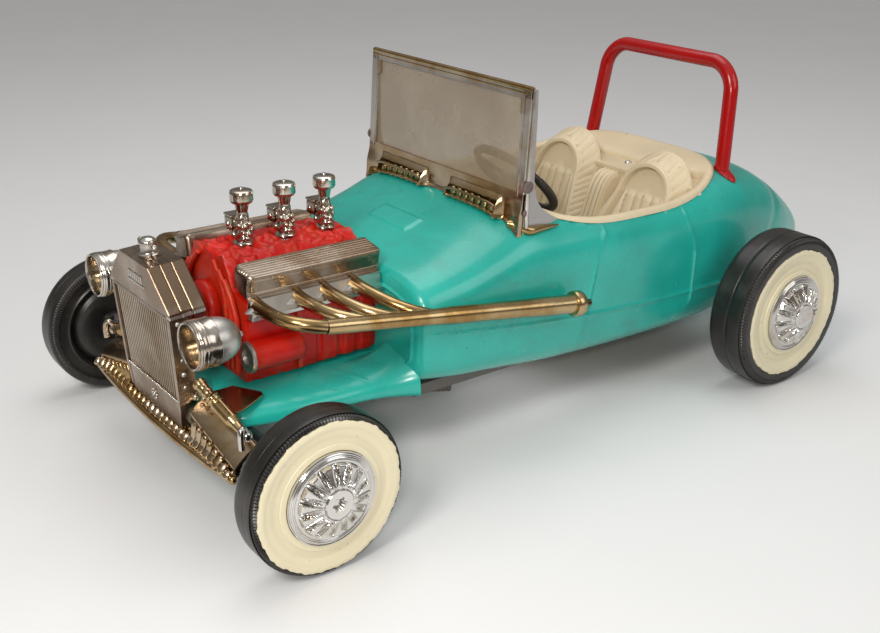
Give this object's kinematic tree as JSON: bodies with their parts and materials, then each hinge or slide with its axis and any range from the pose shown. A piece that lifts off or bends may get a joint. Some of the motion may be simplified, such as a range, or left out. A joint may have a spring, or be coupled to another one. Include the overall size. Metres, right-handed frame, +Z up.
{
  "type": "pedal car",
  "caption": "Child's pedal car in hot-rod style: moulded body, exposed engine, working steering, crank-and-rod pedal drive.",
  "frame": {"origin": "on the ground under the middle of the car", "axes": "+Z up, the car faces -Y, its left side is +X"},
  "size_m": [0.7, 1.268, 0.4986],
  "materials": {
    "body_paint": "glossy turquoise, scuffed",
    "cream_plastic": "satin cream, stained in the creases",
    "frame_steel": "black enamel",
    "bright_steel": "plain turned steel",
    "plated_silver": "plated, worn towards brown",
    "plated_gold": "plated, worn to gold",
    "engine_red": "glossy red with worn edges",
    "roll_bar_red": "gloss red",
    "smoked_pane": "aged clear plastic, brown tint",
    "tyre_black": "glossy black moulded",
    "grip_black": "dark brown-black"
  },
  "bodies": {
    "chassis": {"body_shell": "body_paint", "seat_insert": "cream_plastic", "frame_rail_left": "frame_steel", "frame_rail_right": "frame_steel", "engine_bearers": "frame_steel", "front_crossmember": "frame_steel", "seat_crossmember": "frame_steel", "rear_crossmember": "frame_steel", "front_axle_beam": "frame_steel", "rear_axle_bearings": "frame_steel", "pedal_pivot_rod": "bright_steel", "steering_bracket": "frame_steel", "roll_bar": "roll_bar_red", "screws": "bright_steel", "windshield_frame": "plated_silver", "windshield_pane": "smoked_pane", "radiator_shell": "plated_silver", "radiator_grille": "plated_silver", "radiator_cap": "plated_silver", "headlight_bucket_left": "plated_silver", "headlight_bucket_right": "plated_silver", "headlight_ring_left": "plated_gold", "headlight_ring_right": "plated_gold", "front_pan": "plated_silver", "bumper_bar": "plated_gold", "shock_absorber_left": "plated_gold", "shock_absorber_right": "plated_gold", "engine_block": "engine_red", "valve_cover_left": "plated_silver", "valve_cover_right": "plated_silver", "exhaust_header_left": "plated_gold", "exhaust_header_right": "plated_gold", "carburettor_front": "plated_silver", "carburettor_middle": "plated_silver", "carburettor_rear": "plated_silver", "air_cleaners": "plated_silver"},
    "steering_column": {"steering_wheel": "grip_black", "steering_shaft": "bright_steel"},
    "front_left_knuckle": {"spindle_left": "frame_steel"},
    "front_right_knuckle": {"spindle_right": "frame_steel"},
    "steering_link": {"tie_rod": "frame_steel"},
    "front_left_wheel": {"front_tyre_left": "tyre_black", "front_whitewall_left": "cream_plastic", "front_hubcap_left": "plated_silver"},
    "front_right_wheel": {"front_tyre_right": "tyre_black", "front_whitewall_right": "cream_plastic", "front_hubcap_right": "plated_silver"},
    "crank_axle": {"rear_axle_crank": "bright_steel", "rear_tyre_left": "tyre_black", "rear_whitewall_left": "cream_plastic", "rear_hubcap_left": "plated_silver"},
    "rear_right_wheel": {"rear_tyre_right": "tyre_black", "rear_whitewall_right": "cream_plastic", "rear_hubcap_right": "plated_silver"},
    "left_drive_rod": {"drive_rod_left": "frame_steel"},
    "right_drive_rod": {"drive_rod_right": "frame_steel"},
    "left_pedal": {"pedal_arm_left": "frame_steel", "pedal_pad_left": "grip_black"},
    "right_pedal": {"pedal_arm_right": "frame_steel", "pedal_pad_right": "grip_black"}
  },
  "joints": [
    {"name": "steering_turn", "type": "hinge", "parent": "chassis", "child": "steering_column", "pos_m": [0, 0.0106, 0.313], "axis": [0, 0.7193, 0.6947], "range_deg": [-40, 40]},
    {"name": "front_left_steer", "type": "hinge", "parent": "chassis", "child": "front_left_knuckle", "pos_m": [0.262, -0.5324, 0.1016], "axis": [0, 0, 1], "range_deg": [-24, 24]},
    {"name": "front_right_steer", "type": "hinge", "parent": "chassis", "child": "front_right_knuckle", "pos_m": [-0.262, -0.5324, 0.1016], "axis": [0, 0, 1], "range_deg": [-24, 24]},
    {"name": "steering_link_swing", "type": "hinge", "parent": "front_left_knuckle", "child": "steering_link", "pos_m": [0.262, -0.4774, 0.095], "axis": [0, 0, 1], "range_deg": [-24, 24]},
    {"name": "front_left_wheel_spin", "type": "hinge", "parent": "front_left_knuckle", "child": "front_left_wheel", "pos_m": [0.3055, -0.5324, 0.1016], "axis": [1, 0, 0], "continuous": true},
    {"name": "front_right_wheel_spin", "type": "hinge", "parent": "front_right_knuckle", "child": "front_right_wheel", "pos_m": [-0.3055, -0.5324, 0.1016], "axis": [1, 0, 0], "continuous": true},
    {"name": "rear_axle_spin", "type": "hinge", "parent": "chassis", "child": "crank_axle", "pos_m": [0, 0.3236, 0.1216], "axis": [1, 0, 0], "continuous": true},
    {"name": "rear_right_wheel_spin", "type": "hinge", "parent": "crank_axle", "child": "rear_right_wheel", "pos_m": [-0.2775, 0.3236, 0.1216], "axis": [1, 0, 0], "continuous": true},
    {"name": "left_drive_rod_swing", "type": "hinge", "parent": "crank_axle", "child": "left_drive_rod", "pos_m": [0.075, 0.2916, 0.1216], "axis": [1, 0, 0], "continuous": true},
    {"name": "right_drive_rod_swing", "type": "hinge", "parent": "crank_axle", "child": "right_drive_rod", "pos_m": [-0.075, 0.3556, 0.1216], "axis": [1, 0, 0], "continuous": true},
    {"name": "left_pedal_swing", "type": "hinge", "parent": "chassis", "child": "left_pedal", "pos_m": [0.095, -0.1964, 0.255], "axis": [1, 0, 0], "range_deg": [0, 27.7]},
    {"name": "right_pedal_swing", "type": "hinge", "parent": "chassis", "child": "right_pedal", "pos_m": [-0.095, -0.1964, 0.255], "axis": [1, 0, 0], "range_deg": [-27.7, 0]}
  ],
  "couplings": [
    {"joint": "front_left_steer", "follows": "steering_turn", "ratio": 0.6},
    {"joint": "front_right_steer", "follows": "steering_turn", "ratio": 0.6},
    {"joint": "steering_link_swing", "follows": "steering_turn", "ratio": -0.6},
    {"joint": "left_drive_rod_swing", "follows": "rear_axle_spin", "ratio": -1},
    {"joint": "right_drive_rod_swing", "follows": "rear_axle_spin", "ratio": -1},
    {"joint": "right_pedal_swing", "follows": "left_pedal_swing", "ratio": -1}
  ]
}
